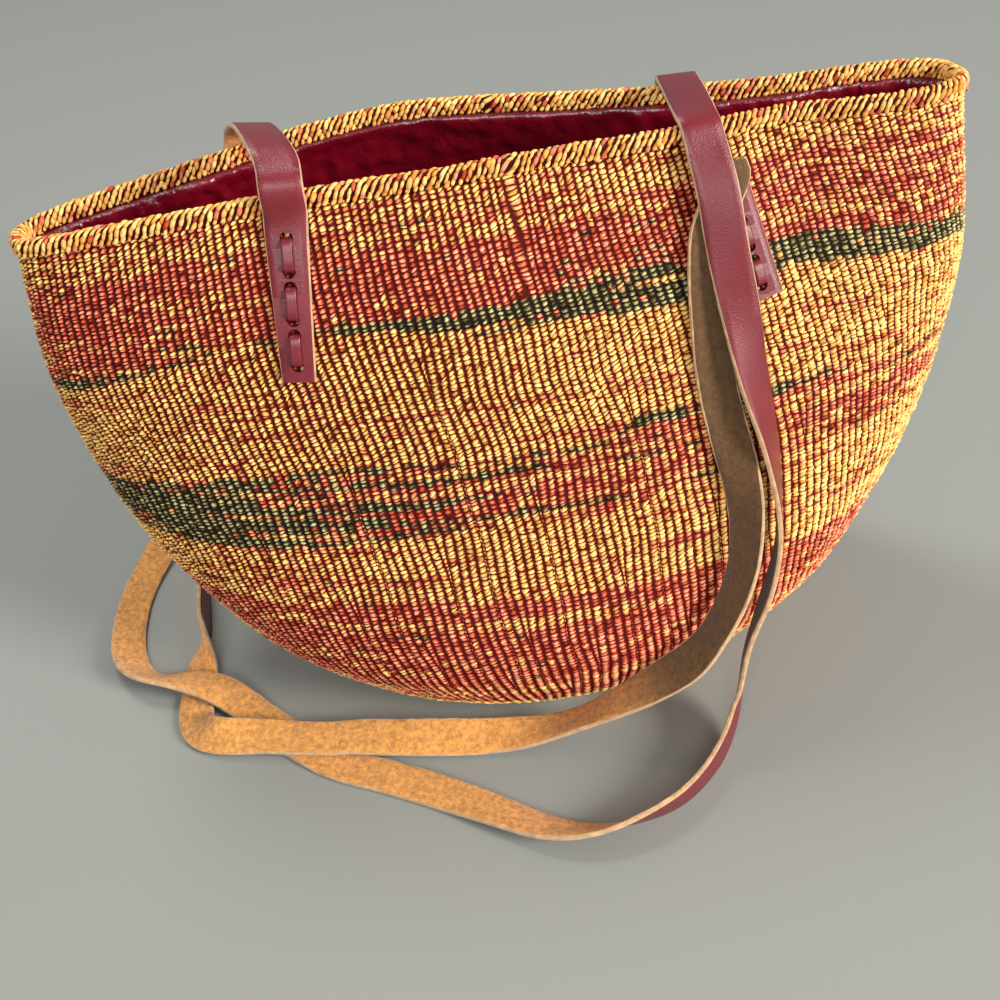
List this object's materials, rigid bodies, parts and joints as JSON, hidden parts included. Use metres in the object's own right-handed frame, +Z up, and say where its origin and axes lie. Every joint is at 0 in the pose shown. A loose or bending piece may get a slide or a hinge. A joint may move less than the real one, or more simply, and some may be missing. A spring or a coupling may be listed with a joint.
{
  "type": "kiondo basket",
  "caption": "Twined sisal basket bag with striped oval body, knobbly rim, leather lining and long leather shoulder straps laced to both walls",
  "frame": {"origin": "centre of the flat base on the floor", "axes": "+X along the flattened mouth to the right, -Y out of the front wall, +Z up"},
  "size_m": [0.4966, 0.3096, 0.3118],
  "materials": {
    "sisal_weave": "rough",
    "sisal_base": "rough",
    "sisal_ring": "rough",
    "sisal_rim": "rough",
    "lining_leather": "satin",
    "strap_leather": "satin",
    "lace_leather": "satin",
    "seam_thread": "matte"
  },
  "bodies": {
    "basket": {"woven_wall": "sisal_weave", "woven_base": "sisal_base", "base_ring": "sisal_ring", "rim_braid": "sisal_rim", "lining_wall": "lining_leather", "lining_base": "lining_leather", "lining_seam_thread": "seam_thread", "front_strap": "strap_leather", "back_strap_right": "strap_leather", "back_strap_left": "strap_leather", "lace_front_left": "lace_leather", "lace_front_right": "lace_leather", "lace_back_left": "lace_leather", "lace_back_right": "lace_leather"},
    "strap_loop": {"back_strap_loop": "strap_leather"}
  },
  "joints": [
    {"name": "back_strap_loop_lift", "type": "hinge", "parent": "basket", "child": "strap_loop", "pos_m": [0.08686, -0.12274, 0.03908], "axis": [-0.9745, -0.0874, -0.2069], "range_deg": [0, 70]}
  ]
}
